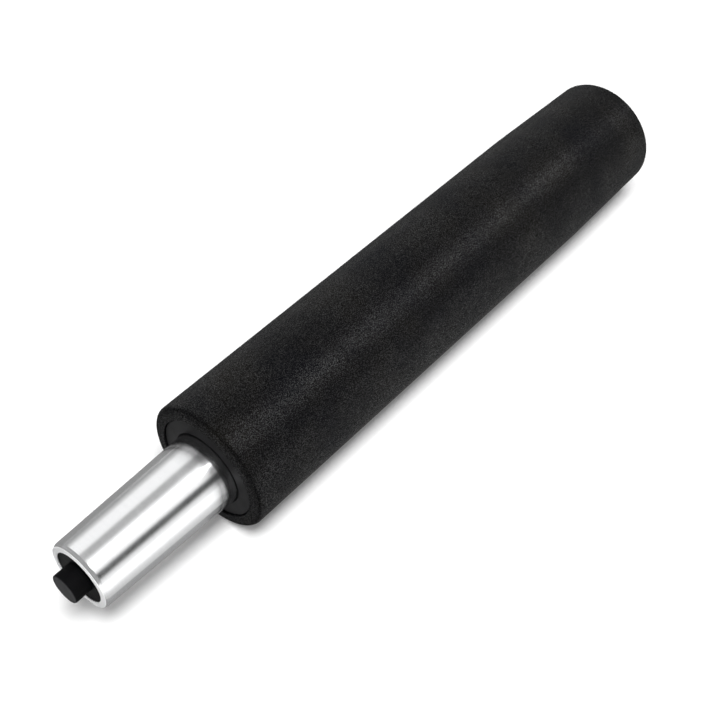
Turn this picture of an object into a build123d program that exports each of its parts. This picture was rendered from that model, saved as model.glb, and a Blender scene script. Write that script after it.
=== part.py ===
from build123d import *
from math import cos, pi
import os

os.makedirs("parts", exist_ok=True)

# Chair gas lift cylinder, lying down and pushed fully in. All sizes are in millimetres.
# The X axis is the cylinder's own axis. It starts at the rim that stands in the chair base
# and runs towards the seat. Every name that ends in _x is a place along it, every radius is
# measured from it, and +Z is up.

# Sizes of the column tube, which stands in the hub of the chair base
column_length = 239.0
column_radius = 25.0
column_wall = 1.8
base_taper_length = 50.0
# radius lost for each unit of length on both tapers, which is 1 in 20 on the diameter
taper_share = 0.025
lip_bend = 0.5
lip_opening_radius = 20.0
lip_edge_round = 0.3
rim_chamfer = 0.4

# Sizes of the pressure tube, which the seat mechanism is pushed onto
tube_radius = 14.0
tube_wall = 2.2
tube_stand_out = 55.0
seat_taper_length = 52.0
mouth_bevel_length = 1.4
mouth_bevel_depth = 0.55
mouth_lip_thickness = 1.5
mouth_lip_overhang = 0.55
crimp_bend = 0.5
crimp_overhang = 3.3

# Travel of the button, and the gas space that is left above the rod when the lift is pushed in
button_travel = 3.0
gas_reserve_length = 34.0

# Turn of every rolled bend, in degrees
bend_angle = 90.0

# Clearances: radial between pieces that slide or turn, radial between pieces pressed together,
# under a seal's lip, and between faces that stay apart
running_gap = 0.05
press_gap = 0.02
seal_gap = 0.03
free_gap = 0.3

# Sizes of the base cup and of the clip that holds the rod in it
cup_setback = 1.0
cup_wall = 1.8
cup_corner_round = 1.5
cup_back_chamfer = 1.0
plate_recess = 7.0
plate_thickness = 3.0
rod_hole_gap = 0.5
clip_washer_thickness = 1.2
clip_washer_radius = 9.0
clip_thickness = 1.2
clip_ring_radius = 7.2
clip_ring_width = 1.7
clip_groove_depth = 0.8
clip_lug_width = 2.4
clip_lug_angle = 115.0
rod_end_overhang = 2.1
rod_end_chamfer = 0.6

# Sizes of the thrust bearing
ball_radius = 2.0
ball_circle_radius = 8.6
ball_count = 10
race_thickness = 2.0
race_margin = 1.4
race_seat_depth = 0.8
groove_depth = 0.5
cage_thickness = 1.6
cage_margin = 0.8

# Sizes of the buffer and its dish
dish_wall = 1.0
dish_height = 4.5
dish_radius = 13.0
dish_corner_chamfer = 0.5
buffer_height = 15.0
buffer_waist_depth = 1.8
buffer_edge_chamfer = 1.5

# Sizes of the rod and of the seal group at the foot of the pressure tube
rod_radius = 5.0
rod_shoulder = 1.0
end_washer_thickness = 1.5
rod_seal_height = 7.0
rod_seal_lip = 1.2
# how far the seal's groove reaches into its height
seal_groove_share = 0.6
seal_spacer_thickness = 2.5
rod_guide_body = 13.0
rod_guide_slot_width = 2.6
rod_guide_slot_depth = 1.3
rod_guide_slots = 4

# Sizes of the inner tube, the spigots that it sits on and the piston that runs in it. The gas
# passage is the space between the two tubes.
gas_passage = 1.0
inner_tube_wall = 0.8
tube_spigot_length = 9.0
piston_spigot_radius = 3.0
piston_washer_setback = 1.95
piston_washer_thickness = 1.5
piston_length = 14.0
piston_edge_chamfer = 0.8
piston_ring_width = 4.0
piston_ring_depth = 1.2
o_ring_cord_radius = 0.9
o_ring_groove_side_gap = 0.2
nut_side_count = 6
nut_flat_radius = 5.0
nut_height = 5.0
nut_chamfer = 0.6

# Sizes of the valve group in the tapered end
insert_recess = 0.4
insert_guide_length = 7.0
insert_wall = 3.2
button_stand_out = 5.9
button_edge_round = 0.6
collar_step = 1.5
collar_thickness = 2.0
pin_radius = 2.0
pin_socket_depth = 5.0
pin_neck_depth = 0.6
pin_neck_length = 4.0
pin_head_radius = 3.2
pin_head_length = 3.0
valve_head_length = 14.0
valve_spacer_length = 14.0
valve_spacer_waist = 0.8
valve_retainer_length = 2.5
port_radius = 1.0
port_relief_length = 8.0
port_relief_step = 0.3
valve_land_length = 2.5

# Sizes of the guide bush in the mouth of the column
bush_recess = 0.7
bush_length = 95.0
bush_gap = 0.08
bush_sleeve_wall = 2.6
bush_collar_length = 5.0
bush_ring_width = 4.0
bush_rib_thickness = 2.0
bush_rib_setback = 0.3
bush_rib_count = 8
bush_bore_chamfer = 0.5
bush_spigot_chamfer = 0.4

# Places along the axis, from the chair base up to the foot of the pressure tube
groove_radius = ball_radius + running_gap
plate_top_x = plate_recess + plate_thickness
race_seat_x = plate_top_x - race_seat_depth
ball_x = race_seat_x + race_thickness - groove_depth + groove_radius
upper_race_x = ball_x + groove_radius - groove_depth
dish_x = upper_race_x + race_thickness
rod_shoulder_x = dish_x + dish_wall
tube_foot_x = rod_shoulder_x + buffer_height + free_gap

# Places of the seal group
end_washer_x = tube_foot_x + tube_wall
rod_seal_x = end_washer_x + end_washer_thickness
seal_spacer_x = rod_seal_x + rod_seal_height
rod_guide_x = seal_spacer_x + seal_spacer_thickness
guide_shoulder_x = rod_guide_x + rod_guide_body
guide_top_x = guide_shoulder_x + tube_spigot_length

# Places of the valve group, from the mouth of the pressure tube down
mouth_x = column_length + tube_stand_out
seat_taper_x = mouth_x - seat_taper_length
insert_face_x = mouth_x - insert_recess
insert_shoulder_x = mouth_x - mouth_lip_thickness
button_face_x = mouth_x + button_stand_out
collar_roof_x = insert_face_x - insert_guide_length
collar_x = collar_roof_x - free_gap - collar_thickness
valve_top_x = collar_x - button_travel - free_gap
pin_pocket_x = valve_top_x - valve_head_length
pin_seal_length = 2 * o_ring_cord_radius + o_ring_groove_side_gap
valve_spacer_x = pin_pocket_x - pin_seal_length - valve_spacer_length
valve_retainer_x = valve_spacer_x - pin_seal_length - valve_retainer_length
port_x = valve_spacer_x + valve_spacer_length / 2
valve_shoulder_x = port_x - port_relief_length / 2
valve_land_x = port_x + port_relief_length / 2
pin_head_x = valve_retainer_x - free_gap - pin_head_length

# Places of the rod's upper end and the piston, down from the gas reserve under the valve. The
# lift's stroke is the way from the guide's top to the piston washer, which comes to 120.
rod_top_x = pin_head_x - gas_reserve_length
nut_x = rod_top_x - rod_end_chamfer - nut_height
piston_x = nut_x - piston_length
piston_washer_x = piston_x - piston_washer_thickness

# Radii that follow from the sizes above
lip_round = lip_bend + column_wall
column_bore_radius = column_radius - column_wall
tube_bore_radius = tube_radius - tube_wall
mouth_radius = tube_radius - taper_share * seat_taper_length
rod_end_radius = rod_radius - rod_shoulder
clip_groove_radius = rod_end_radius - clip_groove_depth
rod_hole_radius = rod_end_radius + rod_hole_gap
race_radius = ball_circle_radius + ball_radius + race_margin
race_bore_radius = ball_circle_radius - ball_radius - race_margin
inner_tube_radius = tube_bore_radius - gas_passage
inner_tube_bore = inner_tube_radius - inner_tube_wall
spigot_radius = inner_tube_bore - press_gap
port_relief_radius = inner_tube_radius - port_relief_step
pin_bore_radius = pin_radius + running_gap
pin_seal_radius = pin_radius + seal_gap + o_ring_cord_radius
pin_pocket_radius = pin_seal_radius + o_ring_cord_radius + press_gap
bush_bore_radius = tube_radius + bush_gap
bush_sleeve_radius = bush_bore_radius + bush_sleeve_wall
bush_radius = column_bore_radius - press_gap


def column_bore(x):
    """Radius of the column tube's bore, which narrows towards the chair base."""
    return column_bore_radius - taper_share * max(base_taper_length - x, 0)


def tube_bore(x):
    """Radius of the pressure tube's bore, which narrows towards its mouth."""
    return tube_bore_radius - taper_share * max(x - seat_taper_x, 0)


# Outer tube: the steel column. Its lower end tapers to wedge in the chair base, and its mouth
# is rolled in over the guide bush, so the bend's two faces share one centre.
lip_bend_centre = (column_length - lip_round, column_radius - lip_round)
with BuildPart() as outer_tube:
    with BuildSketch(Plane.XY):
        with BuildLine():
            Polyline(
                (column_length - lip_round, column_radius),
                (base_taper_length, column_radius),
                (0, column_bore(0) + column_wall),
                (0, column_bore(0)),
                (base_taper_length, column_bore_radius),
                (column_length - lip_round, column_bore_radius),
            )
            CenterArc(lip_bend_centre, lip_bend, start_angle=0, arc_size=bend_angle)
            Polyline(
                (column_length - column_wall, column_radius - lip_round),
                (column_length - column_wall, lip_opening_radius),
                (column_length, lip_opening_radius),
                (column_length, column_radius - lip_round),
            )
            CenterArc(lip_bend_centre, lip_round, start_angle=0, arc_size=bend_angle)
        make_face()
    revolve(axis=Axis.X)
    chamfer(edges().group_by(Axis.X)[0], length=rim_chamfer)
    lip_edge = edges().group_by(Axis.X)[-1].sort_by(SortBy.RADIUS)[0]
    fillet(lip_edge, radius=lip_edge_round)
outer_tube.part.label = "outer_tube"
export_step(outer_tube.part, "parts/outer_tube.step")

# Guide bush: one plastic moulding in the mouth of the column. Its spigot fills the rolled lip,
# its collar bears under the lip, and its long thin sleeve is held in the tube's middle by ribs
# and rings.
bush_top_x = column_length - bush_recess
bush_foot_x = bush_top_x - bush_length
bush_collar_x = column_length - column_wall - bush_collar_length
bush_middle_x = (bush_foot_x + bush_collar_x) / 2
with BuildPart() as guide_bush:
    with BuildSketch(Plane.XY):
        with BuildLine():
            Polyline(
                (bush_foot_x, bush_bore_radius),
                (bush_foot_x, bush_radius),
                (bush_foot_x + bush_ring_width, bush_radius),
                (bush_foot_x + bush_ring_width, bush_sleeve_radius),
                (bush_middle_x - bush_ring_width / 2, bush_sleeve_radius),
                (bush_middle_x - bush_ring_width / 2, bush_radius),
                (bush_middle_x + bush_ring_width / 2, bush_radius),
                (bush_middle_x + bush_ring_width / 2, bush_sleeve_radius),
                (bush_collar_x, bush_sleeve_radius),
                (bush_collar_x, bush_radius),
                (column_length - column_wall - lip_bend, bush_radius),
                (column_length - column_wall, bush_radius - lip_bend),
                (column_length - column_wall, lip_opening_radius - press_gap),
                (bush_top_x, lip_opening_radius - press_gap),
                (bush_top_x, bush_bore_radius),
                close=True,
            )
        make_face()
    revolve(axis=Axis.X)
    rib_root_radius = (bush_bore_radius + bush_sleeve_radius) / 2
    rib_tip_radius = bush_radius - bush_rib_setback
    with BuildSketch(Plane.YZ.offset(bush_foot_x)):
        with PolarLocations((rib_root_radius + rib_tip_radius) / 2, bush_rib_count):
            Rectangle(rib_tip_radius - rib_root_radius, bush_rib_thickness)
    extrude(amount=bush_collar_x - bush_foot_x)
    foot_edge = edges().filter_by(GeomType.CIRCLE).group_by(Axis.X)[0].sort_by(SortBy.RADIUS)[0]
    top_edges = edges().filter_by(GeomType.CIRCLE).group_by(Axis.X)[-1].sort_by(SortBy.RADIUS)
    chamfer([foot_edge, top_edges[0]], length=bush_bore_chamfer)
    chamfer(top_edges[-1], length=bush_spigot_chamfer)
guide_bush.part.label = "guide_bush"
export_step(guide_bush.part, "parts/guide_bush.step")

# Base cup: the drawn steel bottom of the column. Its skirt is pressed into the taper, and a
# counterbore in its floor centres the thrust bearing.
with BuildPart() as base_cup:
    with BuildSketch(Plane.XY):
        with BuildLine():
            Polyline(
                (cup_setback, column_bore(cup_setback) - press_gap - cup_wall),
                (cup_setback, column_bore(cup_setback) - press_gap),
                (
                    plate_top_x - cup_back_chamfer,
                    column_bore(plate_top_x - cup_back_chamfer) - press_gap,
                ),
                (plate_top_x, column_bore(plate_top_x) - press_gap - cup_back_chamfer),
                (plate_top_x, race_radius + running_gap),
                (race_seat_x, race_radius + running_gap),
                (race_seat_x, rod_hole_radius),
                (plate_recess, rod_hole_radius),
                (plate_recess, column_bore(plate_recess) - press_gap - cup_wall),
                close=True,
            )
        make_face()
    revolve(axis=Axis.X)
    floor_edges = edges().filter_by(GeomType.CIRCLE).group_by(Axis.X)[1]
    fillet(floor_edges.sort_by(SortBy.RADIUS)[-1], radius=cup_corner_round)
base_cup.part.label = "base_cup"
export_step(base_cup.part, "parts/base_cup.step")

# Lower race: hardened washer in the cup's counterbore, with the lower half of the ball track.
with BuildPart() as lower_race:
    with BuildSketch(Plane.XY):
        with BuildLine():
            Polyline(
                (race_seat_x, race_bore_radius),
                (race_seat_x, race_radius),
                (race_seat_x + race_thickness, race_radius),
                (race_seat_x + race_thickness, race_bore_radius),
                close=True,
            )
        make_face()
        with Locations((ball_x, ball_circle_radius)):
            Circle(groove_radius, mode=Mode.SUBTRACT)
    revolve(axis=Axis.X)
lower_race.part.label = "lower_race"
export_step(lower_race.part, "parts/lower_race.step")

# Upper race: the same washer turned over, with a bore that centres it on the rod's end.
with BuildPart() as upper_race:
    with BuildSketch(Plane.XY):
        with BuildLine():
            Polyline(
                (upper_race_x, rod_end_radius + press_gap),
                (upper_race_x, race_radius),
                (upper_race_x + race_thickness, race_radius),
                (upper_race_x + race_thickness, rod_end_radius + press_gap),
                close=True,
            )
        make_face()
        with Locations((ball_x, ball_circle_radius)):
            Circle(groove_radius, mode=Mode.SUBTRACT)
    revolve(axis=Axis.X)
upper_race.part.label = "upper_race"
export_step(upper_race.part, "parts/upper_race.step")

# Bearing balls: loose steel balls, evenly spaced by the cage.
with BuildPart() as bearing_balls:
    with Locations(Plane.YZ.offset(ball_x)):
        with PolarLocations(ball_circle_radius, ball_count):
            Sphere(ball_radius)
bearing_balls.part.label = "bearing_balls"
export_step(bearing_balls.part, "parts/bearing_balls.step")

# Ball cage: flat plastic ring with a round pocket for each ball.
cage_bore_radius = ball_circle_radius - groove_radius - cage_margin
cage_radius = ball_circle_radius + groove_radius + cage_margin
with BuildPart() as ball_cage:
    with BuildSketch(Plane.YZ.offset(ball_x - cage_thickness / 2)):
        Circle(cage_radius)
        Circle(cage_bore_radius, mode=Mode.SUBTRACT)
        with PolarLocations(ball_circle_radius, ball_count):
            Circle(groove_radius, mode=Mode.SUBTRACT)
    extrude(amount=cage_thickness)
ball_cage.part.label = "ball_cage"
export_step(ball_cage.part, "parts/ball_cage.step")

# Buffer dish: pressed steel dish between the rod's shoulder and the bearing. Its corner is
# bevelled on both faces.
buffer_seat_radius = dish_radius - dish_wall
with BuildPart() as buffer_dish:
    with BuildSketch(Plane.XY):
        with BuildLine():
            Polyline(
                (dish_x, rod_end_radius + press_gap),
                (dish_x, dish_radius - dish_corner_chamfer),
                (dish_x + dish_corner_chamfer, dish_radius),
                (dish_x + dish_height, dish_radius),
                (dish_x + dish_height, buffer_seat_radius),
                (rod_shoulder_x + dish_corner_chamfer, buffer_seat_radius),
                (rod_shoulder_x, buffer_seat_radius - dish_corner_chamfer),
                (rod_shoulder_x, rod_end_radius + press_gap),
                close=True,
            )
        make_face()
    revolve(axis=Axis.X)
buffer_dish.part.label = "buffer_dish"
export_step(buffer_dish.part, "parts/buffer_dish.step")

# Rubber buffer: thick sleeve round the rod. A V-shaped waist above the dish lets it bulge when
# the tube lands on it, and its foot is bevelled to clear the dish's corner.
buffer_radius = buffer_seat_radius - running_gap
buffer_top_x = rod_shoulder_x + buffer_height
buffer_waist_x = rod_shoulder_x + dish_height + buffer_waist_depth
with BuildPart() as rubber_buffer:
    with BuildSketch(Plane.XY):
        with BuildLine():
            Polyline(
                (rod_shoulder_x, rod_radius + running_gap),
                (rod_shoulder_x, buffer_radius - dish_corner_chamfer),
                (rod_shoulder_x + dish_corner_chamfer, buffer_radius),
                (buffer_waist_x - buffer_waist_depth, buffer_radius),
                (buffer_waist_x, buffer_radius - buffer_waist_depth),
                (buffer_waist_x + buffer_waist_depth, buffer_radius),
                (buffer_top_x - buffer_edge_chamfer, buffer_radius),
                (buffer_top_x, buffer_radius - buffer_edge_chamfer),
                (buffer_top_x, rod_radius + running_gap),
                close=True,
            )
        make_face()
    revolve(axis=Axis.X)
rubber_buffer.part.label = "rubber_buffer"
export_step(rubber_buffer.part, "parts/rubber_buffer.step")

# Piston rod: hard-chromed rod. Its lower end is turned down for the bearing and grooved for the
# clip, and its upper end is turned down for the piston and nut.
clip_washer_x = plate_recess - free_gap - clip_washer_thickness
clip_x = clip_washer_x - clip_thickness
rod_foot_x = clip_x - rod_end_overhang
with BuildPart() as piston_rod:
    with BuildSketch(Plane.XY):
        with BuildLine():
            Polyline(
                (rod_foot_x, 0),
                (rod_foot_x, rod_end_radius - rod_end_chamfer),
                (rod_foot_x + rod_end_chamfer, rod_end_radius),
                (clip_x, rod_end_radius),
                (clip_x, clip_groove_radius),
                (clip_washer_x, clip_groove_radius),
                (clip_washer_x, rod_end_radius),
                (rod_shoulder_x, rod_end_radius),
                (rod_shoulder_x, rod_radius),
                (piston_washer_x, rod_radius),
                (piston_washer_x, piston_spigot_radius),
                (rod_top_x - rod_end_chamfer, piston_spigot_radius),
                (rod_top_x, piston_spigot_radius - rod_end_chamfer),
                (rod_top_x, 0),
                close=True,
            )
        make_face()
    revolve(axis=Axis.X)
piston_rod.part.label = "piston_rod"
export_step(piston_rod.part, "parts/piston_rod.step")

# Clip washer: spreads the clip's load over the floor of the cup.
with BuildPart() as clip_washer:
    with BuildSketch(Plane.YZ.offset(clip_washer_x)):
        Circle(clip_washer_radius)
        Circle(rod_end_radius + press_gap, mode=Mode.SUBTRACT)
    extrude(amount=clip_washer_thickness)
clip_washer.part.label = "clip_washer"
export_step(clip_washer.part, "parts/clip_washer.step")

# Retaining clip: flat spring-steel clip with three lugs that reach into the rod's groove. Its
# open side is up.
clip_seat_radius = clip_groove_radius + press_gap
clip_ring_bore = clip_ring_radius - clip_ring_width
clip_lug_length = clip_ring_radius - clip_ring_width / 2
with BuildPart() as retaining_clip:
    with BuildSketch(Plane.YZ.offset(clip_x)):
        Circle(clip_ring_radius)
        Circle(clip_ring_bore, mode=Mode.SUBTRACT)
        with Locations((0, clip_ring_bore)):
            Rectangle(2 * clip_seat_radius, 2 * clip_ring_bore, mode=Mode.SUBTRACT)
        for lug_angle in (-clip_lug_angle, 0, clip_lug_angle):
            with Locations(Location((0, 0, 0), (0, 0, lug_angle))):
                with Locations((0, -clip_lug_length / 2)):
                    Rectangle(clip_lug_width, clip_lug_length)
        Circle(clip_seat_radius, mode=Mode.SUBTRACT)
    extrude(amount=clip_thickness)
retaining_clip.part.label = "retaining_clip"
export_step(retaining_clip.part, "parts/retaining_clip.step")

# Piston washer: backs the piston against the rod's upper shoulder.
piston_radius = inner_tube_bore - running_gap
with BuildPart() as piston_washer:
    with BuildSketch(Plane.YZ.offset(piston_washer_x)):
        Circle(piston_radius - piston_washer_setback)
        Circle(piston_spigot_radius + press_gap, mode=Mode.SUBTRACT)
    extrude(amount=piston_washer_thickness)
piston_washer.part.label = "piston_washer"
export_step(piston_washer.part, "parts/piston_washer.step")

# Piston: turned aluminium, with a wide groove for the bearing band and a narrow one for the
# O-ring, each centred in its half of the length.
piston_ring_x = piston_x + piston_length / 4
piston_o_ring_x = nut_x - piston_length / 4
o_ring_groove_width = 2 * (o_ring_cord_radius + o_ring_groove_side_gap)
piston_seal_radius = inner_tube_bore - seal_gap - o_ring_cord_radius
with BuildPart() as piston:
    with BuildSketch(Plane.XY):
        with BuildLine():
            Polyline(
                (piston_x, piston_spigot_radius + press_gap),
                (piston_x, piston_radius - piston_edge_chamfer),
                (piston_x + piston_edge_chamfer, piston_radius),
                (nut_x - piston_edge_chamfer, piston_radius),
                (nut_x, piston_radius - piston_edge_chamfer),
                (nut_x, piston_spigot_radius + press_gap),
                close=True,
            )
        make_face()
        with Locations((piston_ring_x, piston_radius)):
            Rectangle(piston_ring_width, 2 * piston_ring_depth, mode=Mode.SUBTRACT)
        with Locations((piston_o_ring_x, piston_radius)):
            Rectangle(
                o_ring_groove_width,
                2 * (piston_radius - piston_seal_radius + o_ring_cord_radius + press_gap),
                mode=Mode.SUBTRACT,
            )
    revolve(axis=Axis.X)
piston.part.label = "piston"
export_step(piston.part, "parts/piston.step")

# Piston ring: plastic band that bears on the inner tube, just proud of the piston.
with BuildPart() as piston_ring:
    with BuildSketch(Plane.YZ.offset(piston_ring_x - piston_ring_width / 2 + press_gap)):
        Circle(inner_tube_bore - seal_gap)
        Circle(piston_radius - piston_ring_depth + press_gap, mode=Mode.SUBTRACT)
    extrude(amount=piston_ring_width - 2 * press_gap)
piston_ring.part.label = "piston_ring"
export_step(piston_ring.part, "parts/piston_ring.step")

# Piston O-ring: round rubber cord in the narrow groove.
with BuildPart() as piston_o_ring:
    with BuildSketch(Plane.XY):
        with Locations((piston_o_ring_x, piston_seal_radius)):
            Circle(o_ring_cord_radius)
    revolve(axis=Axis.X)
piston_o_ring.part.label = "piston_o_ring"
export_step(piston_o_ring.part, "parts/piston_o_ring.step")

# Piston nut: hexagon nut on the rod's upper end, its corners turned off at both faces.
nut_corner_radius = nut_flat_radius / cos(pi / nut_side_count)
with BuildPart() as piston_nut:
    with BuildSketch(Plane.YZ.offset(nut_x)):
        RegularPolygon(nut_flat_radius, nut_side_count, major_radius=False)
        Circle(piston_spigot_radius + press_gap, mode=Mode.SUBTRACT)
    extrude(amount=nut_height)
    with BuildSketch(Plane.XY):
        with BuildLine():
            Polyline(
                (nut_x, 0),
                (nut_x, nut_corner_radius - nut_chamfer),
                (nut_x + nut_chamfer, nut_corner_radius),
                (nut_x + nut_height - nut_chamfer, nut_corner_radius),
                (nut_x + nut_height, nut_corner_radius - nut_chamfer),
                (nut_x + nut_height, 0),
                close=True,
            )
        make_face()
    revolve(axis=Axis.X, mode=Mode.INTERSECT)
piston_nut.part.label = "piston_nut"
export_step(piston_nut.part, "parts/piston_nut.step")

# Pressure tube: polished steel tube. Its foot is rolled in under the seal group, its upper part
# tapers to wedge in the seat mechanism, and its bevelled mouth keeps a thin lip over the insert.
crimp_round = crimp_bend + tube_wall
crimp_centre = (tube_foot_x + crimp_round, tube_radius - crimp_round)
crimp_opening_radius = tube_bore_radius - crimp_overhang
mouth_hole_radius = tube_bore(mouth_x) - mouth_lip_overhang
with BuildPart() as pressure_tube:
    with BuildSketch(Plane.XY):
        with BuildLine():
            Polyline(
                (tube_foot_x + crimp_round, tube_radius),
                (seat_taper_x, tube_radius),
                (
                    mouth_x - mouth_bevel_length,
                    mouth_radius + taper_share * mouth_bevel_length,
                ),
                (mouth_x, mouth_radius - mouth_bevel_depth),
                (mouth_x, mouth_hole_radius),
                (insert_shoulder_x, mouth_hole_radius),
                (insert_shoulder_x, tube_bore(insert_shoulder_x)),
                (seat_taper_x, tube_bore_radius),
                (tube_foot_x + crimp_round, tube_bore_radius),
            )
            CenterArc(crimp_centre, crimp_bend, start_angle=bend_angle, arc_size=bend_angle)
            Polyline(
                (end_washer_x, tube_radius - crimp_round),
                (end_washer_x, crimp_opening_radius),
                (tube_foot_x, crimp_opening_radius),
                (tube_foot_x, tube_radius - crimp_round),
            )
            CenterArc(crimp_centre, crimp_round, start_angle=bend_angle, arc_size=bend_angle)
        make_face()
    revolve(axis=Axis.X)
pressure_tube.part.label = "pressure_tube"
export_step(pressure_tube.part, "parts/pressure_tube.step")

# End washer: steel washer that the rolled foot holds the seal group in with. Its lower corner
# is cut off to clear the bend.
seal_group_radius = tube_bore_radius - press_gap
with BuildPart() as end_washer:
    with BuildSketch(Plane.XY):
        with BuildLine():
            Polyline(
                (end_washer_x, rod_radius + free_gap),
                (end_washer_x, seal_group_radius - crimp_bend),
                (end_washer_x + crimp_bend, seal_group_radius),
                (rod_seal_x, seal_group_radius),
                (rod_seal_x, rod_radius + free_gap),
                close=True,
            )
        make_face()
    revolve(axis=Axis.X)
end_washer.part.label = "end_washer"
export_step(end_washer.part, "parts/end_washer.step")

# Rod seal: rubber ring whose groove faces the gas, so pressure spreads its lips onto rod and
# tube.
rod_seal_bore = rod_radius + seal_gap
rod_seal_middle = (rod_seal_bore + seal_group_radius) / 2
with BuildPart() as rod_seal:
    with BuildSketch(Plane.XY):
        with BuildLine():
            Polyline(
                (rod_seal_x, rod_seal_bore),
                (rod_seal_x, seal_group_radius),
                (seal_spacer_x, seal_group_radius),
                (seal_spacer_x, seal_group_radius - rod_seal_lip),
                (seal_spacer_x - rod_seal_height * seal_groove_share, rod_seal_middle),
                (seal_spacer_x, rod_seal_bore + rod_seal_lip),
                (seal_spacer_x, rod_seal_bore),
                close=True,
            )
        make_face()
    revolve(axis=Axis.X)
rod_seal.part.label = "rod_seal"
export_step(rod_seal.part, "parts/rod_seal.step")

# Seal spacer: brass ring that keeps the guide off the seal's lips.
with BuildPart() as seal_spacer:
    with BuildSketch(Plane.YZ.offset(seal_spacer_x)):
        Circle(seal_group_radius)
        Circle(rod_radius + free_gap, mode=Mode.SUBTRACT)
    extrude(amount=seal_spacer_thickness)
seal_spacer.part.label = "seal_spacer"
export_step(seal_spacer.part, "parts/seal_spacer.step")

# Rod guide: turned guide for the rod. The inner tube sits on its spigot, and slots across the
# shoulder let gas pass under the tube's end to the space outside it.
with BuildPart() as rod_guide:
    with BuildSketch(Plane.XY):
        with BuildLine():
            Polyline(
                (rod_guide_x, rod_radius + running_gap),
                (rod_guide_x, seal_group_radius),
                (guide_shoulder_x, seal_group_radius),
                (guide_shoulder_x, spigot_radius),
                (guide_top_x, spigot_radius),
                (guide_top_x, rod_radius + running_gap),
                close=True,
            )
        make_face()
    revolve(axis=Axis.X)
    slot_floor_radius = spigot_radius - rod_guide_slot_depth
    with BuildSketch(Plane.YZ.offset(guide_shoulder_x - rod_guide_slot_depth)):
        with PolarLocations((slot_floor_radius + tube_radius) / 2, rod_guide_slots):
            Rectangle(tube_radius - slot_floor_radius, rod_guide_slot_width)
    extrude(amount=tube_spigot_length + rod_guide_slot_depth, mode=Mode.SUBTRACT)
rod_guide.part.label = "rod_guide"
export_step(rod_guide.part, "parts/rod_guide.step")

# Inner tube: thin tube between the shoulders of the rod guide and the valve body.
with BuildPart() as inner_tube:
    with BuildSketch(Plane.YZ.offset(guide_shoulder_x)):
        Circle(inner_tube_radius)
        Circle(inner_tube_bore, mode=Mode.SUBTRACT)
    extrude(amount=valve_shoulder_x - guide_shoulder_x)
inner_tube.part.label = "inner_tube"
export_step(inner_tube.part, "parts/inner_tube.step")

# Valve body: turned body that is jammed in the taper. From the mouth down it has a land with an
# O-ring groove, a relief with the gas ports, and a spigot with a groove for the inner tube. Its
# pocket holds the pin seals.
valve_o_ring_x = valve_land_x + valve_land_length + o_ring_groove_width / 2
valve_o_ring_radius = tube_bore(valve_o_ring_x) - press_gap - o_ring_cord_radius
spigot_o_ring_x = (valve_retainer_x + valve_shoulder_x) / 2
spigot_o_ring_radius = inner_tube_bore - press_gap - o_ring_cord_radius
with BuildPart() as valve_body:
    with BuildSketch(Plane.XY):
        with BuildLine():
            Polyline(
                (valve_retainer_x, pin_pocket_radius),
                (valve_retainer_x, spigot_radius),
                (valve_shoulder_x, spigot_radius),
                (valve_shoulder_x, port_relief_radius),
                (valve_land_x, port_relief_radius),
                (valve_land_x, tube_bore(valve_land_x) - press_gap),
                (valve_top_x, tube_bore(valve_top_x) - press_gap),
                (valve_top_x, pin_bore_radius),
                (pin_pocket_x, pin_bore_radius),
                (pin_pocket_x, pin_pocket_radius),
                close=True,
            )
        make_face()
        for groove_x, cord_circle_radius in (
            (valve_o_ring_x, valve_o_ring_radius),
            (spigot_o_ring_x, spigot_o_ring_radius),
        ):
            with Locations((groove_x, cord_circle_radius)):
                Rectangle(
                    o_ring_groove_width,
                    2 * (o_ring_cord_radius + press_gap),
                    mode=Mode.SUBTRACT,
                )
    revolve(axis=Axis.X)
    for drill_plane in (Plane.XY, Plane.XZ):
        with BuildSketch(drill_plane):
            with Locations((port_x, 0)):
                Circle(port_radius)
        extrude(amount=tube_radius, both=True, mode=Mode.SUBTRACT)
valve_body.part.label = "valve_body"
export_step(valve_body.part, "parts/valve_body.step")

# Valve O-ring: seals the valve body in the pressure tube.
with BuildPart() as valve_o_ring:
    with BuildSketch(Plane.XY):
        with Locations((valve_o_ring_x, valve_o_ring_radius)):
            Circle(o_ring_cord_radius)
    revolve(axis=Axis.X)
valve_o_ring.part.label = "valve_o_ring"
export_step(valve_o_ring.part, "parts/valve_o_ring.step")

# Spigot O-ring: seals the inner tube on the valve body's spigot.
with BuildPart() as spigot_o_ring:
    with BuildSketch(Plane.XY):
        with Locations((spigot_o_ring_x, spigot_o_ring_radius)):
            Circle(o_ring_cord_radius)
    revolve(axis=Axis.X)
spigot_o_ring.part.label = "spigot_o_ring"
export_step(spigot_o_ring.part, "parts/spigot_o_ring.step")

# Upper pin seal: O-ring round the pin, between the pocket's floor and the spacer.
with BuildPart() as upper_pin_seal:
    with BuildSketch(Plane.XY):
        with Locations((pin_pocket_x - pin_seal_length / 2, pin_seal_radius)):
            Circle(o_ring_cord_radius)
    revolve(axis=Axis.X)
upper_pin_seal.part.label = "upper_pin_seal"
export_step(upper_pin_seal.part, "parts/upper_pin_seal.step")

# Lower pin seal: O-ring that the pin's neck bridges when the button is pressed.
with BuildPart() as lower_pin_seal:
    with BuildSketch(Plane.XY):
        with Locations((valve_spacer_x - pin_seal_length / 2, pin_seal_radius)):
            Circle(o_ring_cord_radius)
    revolve(axis=Axis.X)
lower_pin_seal.part.label = "lower_pin_seal"
export_step(lower_pin_seal.part, "parts/lower_pin_seal.step")

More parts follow.
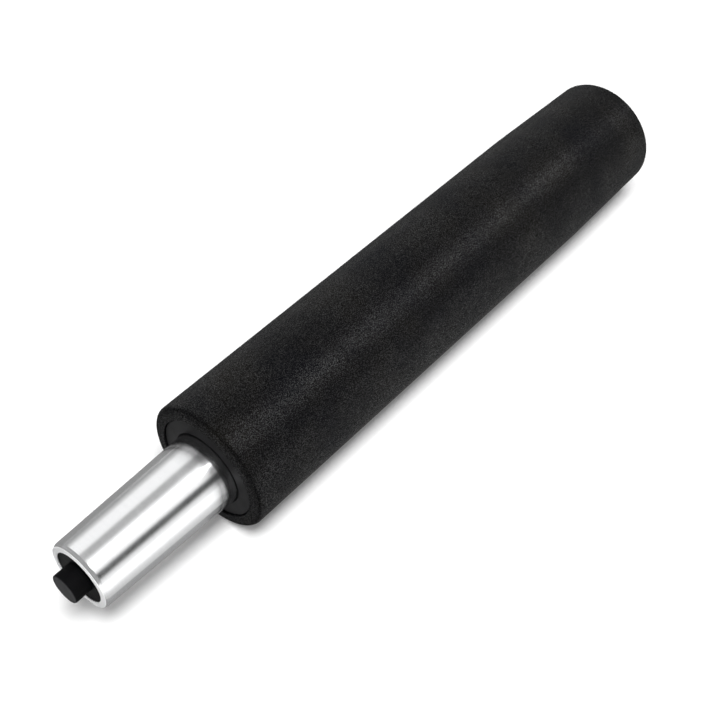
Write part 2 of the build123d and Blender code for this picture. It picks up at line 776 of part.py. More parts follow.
# Valve spacer: sleeve that keeps the pin seals apart, waisted and cross-drilled at the ports.
valve_spacer_radius = pin_pocket_radius - press_gap
valve_spacer_bore = pin_radius + free_gap
spacer_waist_radius = valve_spacer_radius - valve_spacer_waist
with BuildPart() as valve_spacer:
    with BuildSketch(Plane.XY):
        with BuildLine():
            Polyline(
                (valve_spacer_x, valve_spacer_bore),
                (valve_spacer_x, valve_spacer_radius),
                (port_x - 2 * port_radius, valve_spacer_radius),
                (port_x - 2 * port_radius, spacer_waist_radius),
                (port_x + 2 * port_radius, spacer_waist_radius),
                (port_x + 2 * port_radius, valve_spacer_radius),
                (valve_spacer_x + valve_spacer_length, valve_spacer_radius),
                (valve_spacer_x + valve_spacer_length, valve_spacer_bore),
                close=True,
            )
        make_face()
    revolve(axis=Axis.X)
    for drill_plane in (Plane.XY, Plane.XZ):
        with BuildSketch(drill_plane):
            with Locations((port_x, 0)):
                Circle(port_radius)
        extrude(amount=tube_radius, both=True, mode=Mode.SUBTRACT)
valve_spacer.part.label = "valve_spacer"
export_step(valve_spacer.part, "parts/valve_spacer.step")

# Valve retainer: ring pressed into the pocket's mouth, under the lower pin seal.
with BuildPart() as valve_retainer:
    with BuildSketch(Plane.YZ.offset(valve_retainer_x)):
        Circle(pin_pocket_radius - press_gap)
        Circle(pin_radius + free_gap, mode=Mode.SUBTRACT)
    extrude(amount=valve_retainer_length)
valve_retainer.part.label = "valve_retainer"
export_step(valve_retainer.part, "parts/valve_retainer.step")

# End insert: black moulding that closes the mouth. Its nose stands in the mouth's lip, its bore
# guides the button, and the wider chamber below leaves room for the button's collar to travel.
chamber_radius = tube_bore(mouth_x) - insert_wall
collar_radius = chamber_radius - free_gap
button_radius = collar_radius - collar_step
insert_bore_radius = button_radius + running_gap
with BuildPart() as end_insert:
    with BuildSketch(Plane.XY):
        with BuildLine():
            Polyline(
                (valve_top_x, chamber_radius),
                (valve_top_x, tube_bore(valve_top_x) - press_gap),
                (insert_shoulder_x, tube_bore(insert_shoulder_x) - press_gap),
                (insert_shoulder_x, mouth_hole_radius - press_gap),
                (insert_face_x, mouth_hole_radius - press_gap),
                (insert_face_x, insert_bore_radius),
                (collar_roof_x, insert_bore_radius),
                (collar_roof_x, chamber_radius),
                close=True,
            )
        make_face()
    revolve(axis=Axis.X)
end_insert.part.label = "end_insert"
export_step(end_insert.part, "parts/end_insert.step")

# Release button: black plunger. Its collar stops it under the insert, and the valve pin is
# pressed into the socket in its foot.
with BuildPart() as release_button:
    with BuildSketch(Plane.XY):
        with BuildLine():
            Polyline(
                (collar_x, pin_radius + press_gap),
                (collar_x, collar_radius),
                (collar_x + collar_thickness, collar_radius),
                (collar_x + collar_thickness, button_radius),
                (button_face_x, button_radius),
                (button_face_x, 0),
                (collar_x + pin_socket_depth, 0),
                (collar_x + pin_socket_depth, pin_radius + press_gap),
                close=True,
            )
        make_face()
    revolve(axis=Axis.X)
    face_edge = edges().filter_by(GeomType.CIRCLE).sort_by(Axis.X)[-1]
    fillet(face_edge, radius=button_edge_round)
release_button.part.label = "release_button"
export_step(release_button.part, "parts/release_button.step")

# Valve pin: ground steel pin. Its head below the valve body stops it from being blown out, and
# its neck lets gas past the lower seal when it is pressed in.
pin_neck_x = valve_spacer_x + free_gap
with BuildPart() as valve_pin:
    with BuildSketch(Plane.XY):
        with BuildLine():
            Polyline(
                (pin_head_x, 0),
                (pin_head_x, pin_radius),
                (valve_retainer_x - free_gap - (pin_head_radius - pin_radius), pin_head_radius),
                (valve_retainer_x - free_gap, pin_head_radius),
                (valve_retainer_x - free_gap, pin_radius),
                (pin_neck_x, pin_radius),
                (pin_neck_x + pin_neck_depth, pin_radius - pin_neck_depth),
                (pin_neck_x + pin_neck_length - pin_neck_depth, pin_radius - pin_neck_depth),
                (pin_neck_x + pin_neck_length, pin_radius),
                (collar_x + pin_socket_depth, pin_radius),
                (collar_x + pin_socket_depth, 0),
                close=True,
            )
        make_face()
    revolve(axis=Axis.X)
valve_pin.part.label = "valve_pin"
export_step(valve_pin.part, "parts/valve_pin.step")
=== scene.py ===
import math
import bpy
from mathutils import Matrix, Vector

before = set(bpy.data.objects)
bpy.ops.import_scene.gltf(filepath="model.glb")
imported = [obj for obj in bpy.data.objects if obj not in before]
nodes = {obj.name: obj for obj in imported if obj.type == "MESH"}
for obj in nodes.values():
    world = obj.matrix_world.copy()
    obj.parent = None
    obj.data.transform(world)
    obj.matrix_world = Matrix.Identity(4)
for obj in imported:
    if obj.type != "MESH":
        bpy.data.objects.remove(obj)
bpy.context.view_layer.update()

# The view: the cylinder lies on a pale table and is seen from above its open end, through a
# medium-long lens. All places are in metres.
scene = bpy.context.scene
scene.view_settings.view_transform = "Standard"
camera_target = Vector((0.1681, 0.0071, 0.0))
camera_distance = 0.4332
camera_azimuth = math.radians(40.55)
camera_elevation = math.radians(47.86)
toward_camera = Vector((
    math.cos(camera_azimuth) * math.cos(camera_elevation),
    math.sin(camera_azimuth) * math.cos(camera_elevation),
    math.sin(camera_elevation),
))
camera = bpy.data.objects.new("camera", bpy.data.cameras.new("camera"))
camera.data.lens = 59.97
camera.data.sensor_width = 36.0
camera.data.clip_start = 0.01
camera.location = camera_target + camera_distance * toward_camera
camera.rotation_mode = "QUATERNION"
camera.rotation_quaternion = (-toward_camera).to_track_quat("-Z", "Y")
scene.collection.objects.link(camera)
scene.camera = camera

# The table: a white matt sheet that runs on past the picture. What the camera and the shiny
# pieces see of it is a little brighter than its own colour, so only shadows show on it. Far off,
# where the lamps don't reach, it is made up to the room's white.


def add_node(tree, kind, inputs=(), **settings):
    """Adds a node. Each input is a value or another node's output."""
    made = tree.nodes.new("ShaderNode" + kind)
    for name, value in settings.items():
        setattr(made, name, value)
    for key, value in dict(inputs).items():
        if isinstance(value, bpy.types.NodeSocket):
            tree.links.new(value, made.inputs[key])
        else:
            made.inputs[key].default_value = value
    return made


def math_node(tree, operation, *values):
    """Adds a math node and returns its output."""
    return add_node(tree, "Math", enumerate(values), operation=operation).outputs[0]


def remap(tree, value, low, high, new_low=0.0, new_high=1.0):
    """Stretches a value from one range to another, and stops at its ends."""
    made = add_node(tree, "MapRange", {
        "Value": value, "From Min": low, "From Max": high, "To Min": new_low, "To Max": new_high,
    })
    return made.outputs["Result"]


def seen_directly(tree):
    """A mask that is 1 for the camera and for what shows in or through shiny things."""
    rays = add_node(tree, "LightPath").outputs
    mask = math_node(tree, "MAXIMUM", rays["Is Camera Ray"], rays["Is Glossy Ray"])
    return math_node(tree, "MAXIMUM", mask, rays["Is Transmission Ray"])


def far_end(name, axis=0):
    """How far a CAD piece reaches along an axis as it lies at rest. Axis 0 is X."""
    return max(vertex.co[axis] for vertex in nodes[name].data.vertices)


column_radius = far_end("outer_tube", axis=1)
table_z = -column_radius
reach = 4.0
table_mesh = bpy.data.meshes.new("table_top")
table_mesh.from_pydata([
    (-reach, -reach, table_z), (reach, -reach, table_z),
    (reach, reach, table_z), (-reach, reach, table_z),
], [], [(0, 1, 2, 3)])
table_top = bpy.data.objects.new("table_top", table_mesh)
scene.collection.objects.link(table_top)
table_finish = bpy.data.materials.new("table_white")
table_finish.use_nodes = True
tree = table_finish.node_tree
shader = tree.nodes["Principled BSDF"]
shader.inputs["Base Color"].default_value = (0.86, 0.86, 0.86, 1)
shader.inputs["Roughness"].default_value = 0.9
shader.inputs["Specular IOR Level"].default_value = 0.0
shader.inputs["Emission Color"].default_value = (1, 1, 1, 1)
position = add_node(tree, "TexCoord").outputs["Object"]
cylinder_middle = (0.15, 0.0, 0.0)
far_off = add_node(
    tree, "VectorMath", {0: position, 1: cylinder_middle}, operation="DISTANCE"
).outputs["Value"]
near_glow = 0.15
far_glow = 1.0
glow = remap(tree, far_off, 0.25, 0.80, near_glow, far_glow)
glow = math_node(tree, "MULTIPLY", seen_directly(tree), glow)
tree.links.new(glow, shader.inputs["Emission Strength"])
table_mesh.materials.append(table_finish)

# The room: plain soft light from all round, weak enough to leave the cylinder's shadow on the
# table. The camera and shiny surfaces see it as white.
world = bpy.data.worlds.new("room")
scene.world = world
world.use_nodes = True
tree = world.node_tree
background = tree.nodes["Background"]
room_light = 0.20
background.inputs["Color"].default_value = (1, 1, 1, 1)
room_white = math_node(tree, "MULTIPLY_ADD", seen_directly(tree), 1 - room_light, room_light)
tree.links.new(room_white, background.inputs["Strength"])


# The lamps: two long soft boxes over the cylinder. Each is given by its angle round the axis
# from +Y, its distance, where it starts and ends along X, its width and how bright its face is.
# One lights and throws the shadow, and the other only shows in what is shiny.
def soft_box(name, angle, distance, start_x, end_x, width, brightness):
    """Hangs a lamp along X, turned to face the axis."""
    length = end_x - start_x
    lamp = bpy.data.objects.new(name, bpy.data.lights.new(name, "AREA"))
    lamp.data.shape = "RECTANGLE"
    lamp.data.size = length
    lamp.data.size_y = width
    lamp.data.energy = brightness * math.pi * length * width
    turn = math.radians(angle)
    side = Vector((0, math.cos(turn), math.sin(turn)))
    lamp.location = Vector(((start_x + end_x) / 2, 0, 0)) + distance * side
    across = side.cross(Vector((1, 0, 0)))
    lamp.rotation_euler = Matrix((Vector((1, 0, 0)), across, side)).transposed().to_euler()
    lamp.visible_camera = False
    scene.collection.objects.link(lamp)
    return lamp


shadow_box = soft_box(
    "shadow_box", angle=73, distance=2.0, start_x=0.10, end_x=1.10, width=0.62, brightness=25.0
)
shadow_box.visible_glossy = False
gloss_box = soft_box(
    "gloss_box", angle=61, distance=0.75, start_x=-1.2, end_x=0.3, width=0.09, brightness=8.5
)
gloss_box.visible_diffuse = False

# The cards: long grey strips round the cylinder, which only show as darker bands in what is
# shiny. They neither light nor shade anything. Some hang on an arc, and some lie on the table.
card_finish = bpy.data.materials.new("grey_card")
card_finish.use_nodes = True
tree = card_finish.node_tree
shader = tree.nodes["Principled BSDF"]
shader.inputs["Base Color"].default_value = (0, 0, 0, 1)
shader.inputs["Specular IOR Level"].default_value = 0.0
shader.inputs["Emission Strength"].default_value = 1.0
card_grey = add_node(tree, "VertexColor", layer_name="grey")
tree.links.new(card_grey.outputs["Color"], shader.inputs["Emission Color"])


def hang_card(name, points, faces, point_greys):
    """Makes a card from a mesh's points and faces and the grey at each point."""
    mesh = bpy.data.meshes.new(name)
    mesh.from_pydata(points, [], faces)
    greys = mesh.color_attributes.new("grey", "FLOAT_COLOR", "POINT")
    for place, grey in enumerate(point_greys):
        greys.data[place].color = (grey, grey, grey, 1)
    mesh.materials.append(card_finish)
    card = bpy.data.objects.new(name, mesh)
    scene.collection.objects.link(card)
    card.visible_camera = False
    card.visible_diffuse = False
    card.visible_shadow = False
    card.visible_transmission = False


def grey_card(name, first_edge, last_edge, first_grey, last_grey, start_x=-1.2, end_x=0.6):
    """A flat strip along X between two edges, each given as (y, z), and its grey at each."""
    hang_card(name, [
        (start_x, *first_edge), (end_x, *first_edge), (end_x, *last_edge), (start_x, *last_edge),
    ], [(0, 1, 2, 3)], (first_grey, first_grey, last_grey, last_grey))


def on_arc(angle):
    """The (y, z) place that many degrees round from +Y, where the far cards hang."""
    card_distance = 0.6
    turn = math.radians(angle)
    return card_distance * math.cos(turn), card_distance * math.sin(turn)


def above_table(y, layer):
    """A (y, z) place on the table. Each layer is a hair higher, so that no two cards touch."""
    return y, table_z + 0.0001 * layer


column_end = far_end("outer_tube")
tube_end = far_end("pressure_tube")
grey_card("pale_card_right", on_arc(-2), on_arc(15), 0.93, 0.80)
grey_card("dark_card_right", on_arc(15), on_arc(35), 0.01, 0.01)
grey_card("grey_card_top", on_arc(81), on_arc(106), 0.42, 0.40)
grey_card("pale_card_left", on_arc(146), on_arc(159), 0.72, 0.45)
grey_card("grey_card_left", on_arc(159), on_arc(173), 0.34, 0.28)
grey_card("low_card_left", (-0.0425, 0.0147), above_table(-0.0377, 5), 0.28, 0.30)
# low_card_under, low_card_right and low_card_mouth are painted shadow: the cylinder's shadow on
# the table, as the shiny pieces see it.
grey_card("low_card_under", above_table(-0.010, 2), above_table(0.019, 2), 0.28, 0.31,
          start_x=-0.3, end_x=0.45)
grey_card("low_card_right", above_table(0.019, 2), above_table(0.062, 2), 0.31, 1.0,
          start_x=-0.3, end_x=0.45)
grey_card("low_card_front", above_table(-0.120, 3), above_table(-0.012, 3), 0.60, 0.45,
          start_x=column_end + 0.004)
grey_card("low_card_mouth", above_table(0.012, 4), above_table(0.030, 4), 0.12, 0.42,
          start_x=column_end - 0.017, end_x=column_end + 0.0045)
past_tube = {"start_x": tube_end + 0.016, "end_x": 0.8}
grey_card("end_card_right", on_arc(0), on_arc(45), 0.30, 0.30, **past_tube)
grey_card("end_card_top", on_arc(45), on_arc(90), 0.30, 0.30, **past_tube)
grey_card("end_card_left", on_arc(90), on_arc(128), 0.30, 0.34, **past_tube)
grey_card("end_card_low", on_arc(126), on_arc(181), 0.34, 0.40, **past_tube)

# The dark ring: one more card, flat round the column's mouth. The silver tube shows it, and so
# its dark fade beside the mouth is wider.
# The ring is a painted reflection: a dark sheet that only the shiny pieces see.
ring_x = column_end + 0.0003
ring_edges = (column_radius - 0.0004, column_radius + 0.0028)
ring_steps = 72
ring_points = []
for step in range(ring_steps):
    turn = math.tau * step / ring_steps
    for radius in ring_edges:
        ring_points.append((ring_x, radius * math.cos(turn), radius * math.sin(turn)))
count = len(ring_points)
ring_faces = [(at, at + 1, (at + 3) % count, (at + 2) % count) for at in range(0, count, 2)]
ring_grey = 0.01
hang_card("mouth_ring", ring_points, ring_faces, [ring_grey] * count)

# Outer tube: the steel column, drawn and tapered at its lower end, with its mouth rolled in. It
# is blasted and powder-coated black, and the coat crinkles as it is baked.


def effect_group(name, inputs, outputs):
    """Starts a shader node group with named sockets and returns its tree, start and end."""
    group = bpy.data.node_groups.new(name, "ShaderNodeTree")
    for socket, value in inputs.items():
        made = group.interface.new_socket(socket, in_out="INPUT", socket_type="NodeSocketFloat")
        made.default_value = value
    for socket in outputs:
        group.interface.new_socket(socket, in_out="OUTPUT", socket_type="NodeSocketFloat")
    start = group.nodes.new("NodeGroupInput")
    end = group.nodes.new("NodeGroupOutput")
    return group, start, end


def use_group(tree, group, **inputs):
    """Adds a group to a material's tree. Underscores stand for the spaces in socket names."""
    made = tree.nodes.new("ShaderNodeGroup")
    made.node_tree = group
    for name, value in inputs.items():
        made.inputs[name.replace("_", " ")].default_value = value
    return made


def noise(tree, vector, scale, detail=2.0, roughness=0.5):
    """Adds a noise texture and returns its value, around a half."""
    return add_node(tree, "TexNoise", {
        "Vector": vector, "Scale": scale, "Detail": detail, "Roughness": roughness,
    }).outputs["Fac"]


# Edge wear: a mask that is 1 on worn outer edges. The rounded normal leaves the true one there,
# and a patchy noise breaks the line up.
edge_wear, start, end = effect_group(
    "edge_wear", {"Width": 0.0004, "Patch Scale": 400.0}, ["Mask"]
)
geometry = add_node(edge_wear, "NewGeometry")
rounded = add_node(edge_wear, "Bevel", {"Radius": start.outputs["Width"]}, samples=4)
likeness = add_node(edge_wear, "VectorMath", {
    0: geometry.outputs["Normal"], 1: rounded.outputs[0],
}, operation="DOT_PRODUCT").outputs["Value"]
edge = remap(edge_wear, likeness, 0.995, 0.88)
position = add_node(edge_wear, "TexCoord").outputs["Object"]
patches = noise(edge_wear, position, start.outputs["Patch Scale"], 3.0)
patchy = math_node(edge_wear, "MULTIPLY", edge, remap(edge_wear, patches, 0.35, 0.65, 0.35, 1.0))
edge_wear.links.new(patchy, end.inputs["Mask"])

# Clouding: slow changes over a surface, as from handling and uneven curing.
clouding, start, end = effect_group("clouding", {"Scale": 60.0}, ["Mask"])
position = add_node(clouding, "TexCoord").outputs["Object"]
slow = noise(clouding, position, start.outputs["Scale"], 4.0, 0.6)
clouding.links.new(remap(clouding, slow, 0.3, 0.7), end.inputs["Mask"])

# Crinkle: small baked wrinkles. The height is made of ridges between cells, and the glint
# picks out the flat tops that catch the light.
crinkle, start, end = effect_group("crinkle", {"Scale": 1850.0}, ["Height", "Glint"])
position = add_node(crinkle, "TexCoord").outputs["Object"]
cells = add_node(crinkle, "TexVoronoi", {
    "Vector": position, "Scale": start.outputs["Scale"], "Randomness": 1.0,
}, feature="SMOOTH_F1")
finer_scale = math_node(crinkle, "MULTIPLY", start.outputs["Scale"], 1.7)
fine = noise(crinkle, position, finer_scale, 3.0, 0.6)
height = math_node(crinkle, "MULTIPLY_ADD", cells.outputs["Distance"], 0.6, fine)
crinkle.links.new(height, end.inputs["Height"])
crinkle.links.new(remap(crinkle, fine, 0.50, 0.60), end.inputs["Glint"])


def new_finish(name, metallic=0.0, specular=0.5):
    """Starts a material and returns it with its tree and its shader."""
    made = bpy.data.materials.new(name)
    made.use_nodes = True
    made_shader = made.node_tree.nodes["Principled BSDF"]
    made_shader.inputs["Metallic"].default_value = metallic
    made_shader.inputs["Specular IOR Level"].default_value = specular
    return made, made.node_tree, made_shader


def mix_colour(tree, factor, first, second):
    """Mixes two colours. Each is an output or three numbers."""
    made = add_node(tree, "Mix", data_type="RGBA", blend_type="MIX")
    for key, value in (("Factor", factor), (6, first), (7, second)):
        socket = made.inputs[key]
        if isinstance(value, bpy.types.NodeSocket):
            tree.links.new(value, socket)
        else:
            socket.default_value = value if isinstance(value, (int, float)) else (*value, 1)
    return made.outputs[2]


def add_bump(tree, shader, height, distance):
    """Links a height to the shader's normal. The distance is the relief's real depth."""
    bump = add_node(tree, "Bump", {"Height": height, "Distance": distance, "Strength": 1.0})
    tree.links.new(bump.outputs["Normal"], shader.inputs["Normal"])


def dress(finish, *names):
    """Gives CAD nodes a material."""
    for name in names:
        piece = nodes[name]
        if not piece.material_slots:
            piece.data.materials.append(finish)
        for slot in piece.material_slots:
            slot.material = finish


crinkle_coat, tree, shader = new_finish("crinkle_coat", specular=0.02)
grain = use_group(tree, crinkle)
clouds = use_group(tree, clouding, Scale=70.0)
wear = use_group(tree, edge_wear, Width=0.0006)
tint = use_group(tree, clouding, Scale=38.0)
# The black drifts between a bluish and a brownish one, and is paler on worn edges.
blue_black = (0.0016, 0.0020, 0.0036)
brown_black = (0.0050, 0.0045, 0.0036)
base = mix_colour(tree, tint.outputs["Mask"], blue_black, brown_black)
# Painted glint: the tops of the wrinkles are painted paler in the colour.
base = mix_colour(tree, grain.outputs["Glint"], base, (0.0080, 0.0080, 0.0080))
worn = math_node(tree, "MULTIPLY", wear.outputs["Mask"], 0.5)
base = mix_colour(tree, worn, base, (0.040, 0.040, 0.040))
tree.links.new(base, shader.inputs["Base Color"])
tree.links.new(
    remap(tree, clouds.outputs["Mask"], 0.0, 1.0, 0.34, 0.44), shader.inputs["Roughness"]
)
# Only the tops of the wrinkles shine. They do so in blotches, and less towards the base.
blotches = math_node(tree, "ADD", clouds.outputs["Mask"], tint.outputs["Mask"])
blotches = remap(tree, blotches, 0.3, 1.7, 0.42, 1.18)
position = add_node(tree, "TexCoord").outputs["Object"]
place = add_node(tree, "SeparateXYZ", {0: position}).outputs["X"]
shine = math_node(tree, "MULTIPLY", blotches, remap(tree, place, 0.0, 0.16, 0.62, 1.0))
tree.links.new(
    math_node(tree, "MULTIPLY", grain.outputs["Glint"], shine), shader.inputs["Coat Weight"]
)
shader.inputs["Coat Roughness"].default_value = 0.40
add_bump(tree, shader, grain.outputs["Height"], 0.00040)
dress(crinkle_coat, "outer_tube")

# Base cup, washers and nut: the cup is drawn from mild steel and pressed into the taper from
# below. The washers and the dish are stamped, the nut is turned, and all are left bare and oiled.


# Circular marks: fine lines round the axis, left by drawing, turning or grinding. They follow
# the radius on flat faces and the length on round ones.
circular_marks, start, end = effect_group(
    "circular_marks", {"Spacing": 0.0003}, ["Height", "Streak"]
)
position = add_node(circular_marks, "TexCoord").outputs["Object"]
parts = add_node(circular_marks, "SeparateXYZ", {0: position}).outputs
across = add_node(circular_marks, "CombineXYZ", {"Y": parts["Y"], "Z": parts["Z"]}).outputs[0]
radius = add_node(circular_marks, "VectorMath", {0: across}, operation="LENGTH").outputs["Value"]
drift = noise(circular_marks, position, 90.0, 1.0)
along = math_node(circular_marks, "DIVIDE", parts["X"], start.outputs["Spacing"])
outward = math_node(circular_marks, "DIVIDE", radius, start.outputs["Spacing"])
line_place = add_node(circular_marks, "CombineXYZ", {
    "X": along, "Y": outward, "Z": drift,
}).outputs[0]
lines = noise(circular_marks, line_place, 1.0, 3.0, 0.65)
circular_marks.links.new(lines, end.inputs["Height"])
circular_marks.links.new(remap(circular_marks, lines, 0.36, 0.64), end.inputs["Streak"])


def metal_finish(name, dark, light, roughness, spacing, depth, wear_light=0.15):
    """A machined metal: lines round the axis, clouds of handling and brighter rubbed edges."""
    finish, tree, shader = new_finish(name, metallic=1.0)
    marks = use_group(tree, circular_marks, Spacing=spacing)
    clouds = use_group(tree, clouding, Scale=90.0)
    wear = use_group(tree, edge_wear, Width=0.0003)
    base = mix_colour(tree, marks.outputs["Streak"], dark, light)
    rubbed = math_node(tree, "MULTIPLY", wear.outputs["Mask"], wear_light)
    base = mix_colour(tree, rubbed, base, (0.95, 0.95, 0.95))
    tree.links.new(base, shader.inputs["Base Color"])
    low, high = roughness
    rough = remap(tree, clouds.outputs["Mask"], 0.0, 1.0, low, high)
    rough = math_node(tree, "MULTIPLY_ADD", marks.outputs["Streak"], 0.15 * (high - low), rough)
    tree.links.new(rough, shader.inputs["Roughness"])
    add_bump(tree, shader, marks.outputs["Height"], depth)
    return finish


plain_steel = metal_finish(
    "plain_steel", dark=(0.33, 0.33, 0.34), light=(0.46, 0.46, 0.47), roughness=(0.30, 0.48),
    spacing=0.00045, depth=0.000006
)
dress(plain_steel, "base_cup", "clip_washer", "buffer_dish", "piston_washer", "piston_nut",
      "end_washer")

# Thrust bearing: two ground and hardened washers, ten polished balls and a yellowish nylon cage,
# all in a film of grease.
bearing_steel = metal_finish(
    "bearing_steel", dark=(0.58, 0.58, 0.60), light=(0.66, 0.66, 0.68), roughness=(0.10, 0.20),
    spacing=0.00015, depth=0.000002
)
dress(bearing_steel, "lower_race", "upper_race", "bearing_balls")


# Moulded skin: the fine grain that a spark-eroded mould leaves on plastic and rubber, with faint
# lines where the melt flowed along.
moulded_skin, start, end = effect_group("moulded_skin", {"Scale": 3500.0}, ["Height", "Flow"])
position = add_node(moulded_skin, "TexCoord").outputs["Object"]
fine = noise(moulded_skin, position, start.outputs["Scale"], 2.0)
stretched = add_node(
    moulded_skin, "VectorMath", {0: position, 1: (60.0, 260.0, 260.0)}, operation="MULTIPLY"
).outputs[0]
flow = noise(moulded_skin, stretched, 1.0, 2.0)
moulded_skin.links.new(fine, end.inputs["Height"])
moulded_skin.links.new(remap(moulded_skin, flow, 0.3, 0.7), end.inputs["Flow"])


def plastic_finish(name, dark, light, roughness, depth, specular=0.5, wear_colour=None,
                   scale=3500.0):
    """A moulded plastic: fine grain, flow clouds and edges that are rubbed a little paler."""
    finish, tree, shader = new_finish(name, specular=specular)
    skin = use_group(tree, moulded_skin, Scale=scale)
    clouds = use_group(tree, clouding, Scale=120.0)
    wear = use_group(tree, edge_wear, Width=0.0004)
    base = mix_colour(tree, skin.outputs["Flow"], dark, light)
    rubbed = math_node(tree, "MULTIPLY", wear.outputs["Mask"], 0.5)
    if wear_colour is None:
        wear_colour = [2.2 * part for part in light]
    base = mix_colour(tree, rubbed, base, wear_colour)
    tree.links.new(base, shader.inputs["Base Color"])
    low, high = roughness
    tree.links.new(
        remap(tree, clouds.outputs["Mask"], 0.0, 1.0, low, high), shader.inputs["Roughness"]
    )
    add_bump(tree, shader, skin.outputs["Height"], depth)
    return finish


cage_plastic = plastic_finish(
    "cage_plastic", dark=(0.62, 0.56, 0.40), light=(0.72, 0.66, 0.50), roughness=(0.35, 0.5),
    depth=0.000015, wear_colour=(0.8, 0.76, 0.66)
)
dress(cage_plastic, "ball_cage")

# Piston rod and its clip: hard-chromed ground rod, and a blued spring-steel clip snapped into
# its groove under the base cup.
rod_chrome = metal_finish(
    "rod_chrome", dark=(0.62, 0.63, 0.65), light=(0.72, 0.73, 0.75), roughness=(0.10, 0.18),
    spacing=0.00012, depth=0.0000015
)
dress(rod_chrome, "piston_rod")
spring_steel = metal_finish(
    "spring_steel", dark=(0.10, 0.11, 0.14), light=(0.17, 0.18, 0.21), roughness=(0.28, 0.42),
    spacing=0.0004, depth=0.000004, wear_light=0.4
)
dress(spring_steel, "retaining_clip")

# Rubber buffer and seals: black nitrile rubber, pressed in moulds, with a dusty bloom. The buffer
# sits loose on its dish, and the seals are squeezed into their grooves.
black_rubber = plastic_finish(
    "black_rubber", dark=(0.012, 0.012, 0.012), light=(0.020, 0.020, 0.020),
    roughness=(0.62, 0.8), depth=0.00003, specular=0.3, scale=2200.0
)
dress(black_rubber, "rubber_buffer", "rod_seal", "piston_o_ring", "valve_o_ring",
      "spigot_o_ring", "upper_pin_seal", "lower_pin_seal")

# Piston and valve pieces: aluminium and brass, turned on automatic lathes, a white sliding band
# that is snapped round the piston, and a chromed pin through the valve.
turned_aluminium = metal_finish(
    "turned_aluminium", dark=(0.66, 0.66, 0.67), light=(0.80, 0.80, 0.81), roughness=(0.22, 0.36),
    spacing=0.0003, depth=0.000006
)
dress(turned_aluminium, "piston", "rod_guide", "valve_body")
brass = metal_finish(
    "brass", dark=(0.62, 0.43, 0.17), light=(0.76, 0.55, 0.24), roughness=(0.22, 0.36),
    spacing=0.0003, depth=0.000005
)
dress(brass, "seal_spacer", "valve_spacer", "valve_retainer")
white_plastic = plastic_finish(
    "white_plastic", dark=(0.70, 0.70, 0.67), light=(0.80, 0.80, 0.77), roughness=(0.35, 0.5),
    depth=0.000012, wear_colour=(0.85, 0.85, 0.83)
)
dress(white_plastic, "piston_ring")
dress(rod_chrome, "valve_pin")

# Inner tube: thin cold-drawn steel tube, left grey as it was drawn. It is held between the rod's
# guide and the valve body.
drawn_tube = metal_finish(
    "drawn_tube", dark=(0.42, 0.42, 0.43), light=(0.52, 0.52, 0.53), roughness=(0.26, 0.42),
    spacing=0.0004, depth=0.000004
)
dress(drawn_tube, "inner_tube")

# Pressure tube: precision steel tube, ground and polished round the axis and bright-plated. Its
# upper end is tapered and its mouth is turned to a bevelled lip.
polished_tube, tree, shader = new_finish("polished_tube", metallic=1.0)
marks = use_group(tree, circular_marks, Spacing=0.00016)
clouds = use_group(tree, clouding, Scale=160.0)
wear = use_group(tree, edge_wear, Width=0.00035)
base = mix_colour(tree, marks.outputs["Streak"], (0.91, 0.915, 0.925), (0.965, 0.97, 0.975))
rubbed = math_node(tree, "MULTIPLY", wear.outputs["Mask"], 0.3)
base = mix_colour(tree, rubbed, base, (0.98, 0.98, 0.98))
# Painted shade: the colour darkens near the bush and thins out, for the dark mouth the tube
# reflects.
position = add_node(tree, "TexCoord").outputs["Object"]
place = add_node(tree, "SeparateXYZ", {0: position}).outputs["X"]
place = math_node(tree, "MULTIPLY_ADD", noise(tree, position, 260.0, 3.0), 0.002, place)
root_shade_start = remap(tree, place, column_end - 0.034, column_end + 0.001)
root_shade = remap(tree, place, column_end + 0.0035, column_end + 0.0130, 1.0, 0.0)
root_shade = math_node(tree, "MULTIPLY", root_shade, root_shade_start)
root_shade = math_node(tree, "POWER", root_shade, 1.7)
root_shade_grey = (0.54, 0.54, 0.55)
base = mix_colour(tree, root_shade, base, root_shade_grey)
tree.links.new(base, shader.inputs["Base Color"])
rough = remap(tree, clouds.outputs["Mask"], 0.0, 1.0, 0.19, 0.23)
rough = math_node(tree, "MULTIPLY_ADD", marks.outputs["Streak"], 0.02, rough)
# The mouth's face is only turned, not polished, so it is dull and spreads the light.
parts = add_node(tree, "SeparateXYZ", {0: position}).outputs
face = remap(tree, parts["X"], tube_end - 0.00020, tube_end - 0.00005)
rough = math_node(tree, "MULTIPLY_ADD", face, 0.36, rough)
tree.links.new(rough, shader.inputs["Roughness"])
tree.links.new(math_node(tree, "MULTIPLY_ADD", face, -0.7, 1.0), shader.inputs["Metallic"])
add_bump(tree, shader, marks.outputs["Height"], 0.0000015)
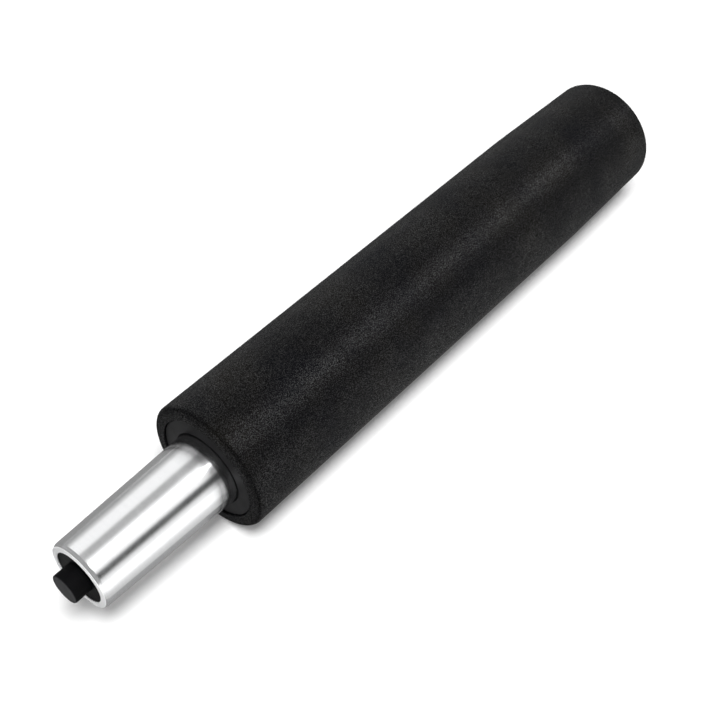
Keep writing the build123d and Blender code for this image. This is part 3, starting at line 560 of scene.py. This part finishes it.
# It is also crowned: it rises inwards from its outer edge, by less than half of its width.
mouth_radius = 0.01215
crown_slope = 0.45
across = add_node(tree, "CombineXYZ", {"Y": parts["Y"], "Z": parts["Z"]}).outputs[0]
radius = add_node(tree, "VectorMath", {0: across}, operation="LENGTH").outputs["Value"]
inward = math_node(tree, "SUBTRACT", mouth_radius, radius)
rise = math_node(tree, "MULTIPLY", face, inward)
rise = math_node(tree, "MULTIPLY", rise, crown_slope)
marks_normal = shader.inputs["Normal"].links[0].from_socket
crown = add_node(tree, "Bump", {
    "Height": rise, "Distance": 1.0, "Strength": 1.0, "Normal": marks_normal,
})
tree.links.new(crown.outputs["Normal"], shader.inputs["Normal"])
dress(polished_tube, "pressure_tube")

# Guide bush: one long moulding of black acetal, pushed into the mouth of the column before the
# mouth is rolled in over it. It is satin where it shows.
black_moulding = plastic_finish(
    "black_moulding", dark=(0.0130, 0.0130, 0.0138), light=(0.0180, 0.0180, 0.0190),
    roughness=(0.34, 0.44), depth=0.000012, specular=0.10
)
dress(black_moulding, "guide_bush")

# End insert and button: black mouldings. The insert is semi-gloss, and the button's face is
# matt from the lever that presses it.
insert_plastic = plastic_finish(
    "insert_plastic", dark=(0.0018, 0.0019, 0.0023), light=(0.0030, 0.0031, 0.0036),
    roughness=(0.26, 0.36), depth=0.000008, specular=0.015
)
dress(insert_plastic, "end_insert")
button_plastic = plastic_finish(
    "button_plastic", dark=(0.0026, 0.0026, 0.0029), light=(0.0042, 0.0042, 0.0046),
    roughness=(0.46, 0.58), depth=0.000010, specular=0.04
)
tree = button_plastic.node_tree
shader = tree.nodes["Principled BSDF"]
position = add_node(tree, "TexCoord").outputs["Object"]
place = add_node(tree, "SeparateXYZ", {0: position}).outputs["X"]
button_end = far_end("release_button")
face = remap(tree, place, button_end - 0.00030, button_end - 0.00005)
scuffs = noise(tree, position, 900.0, 3.0, 0.6)
rubbed = mix_colour(tree, scuffs, (0.036, 0.036, 0.038), (0.052, 0.052, 0.054))
base = mix_colour(tree, face, shader.inputs["Base Color"].links[0].from_socket, rubbed)
tree.links.new(base, shader.inputs["Base Color"])
dress(button_plastic, "release_button")
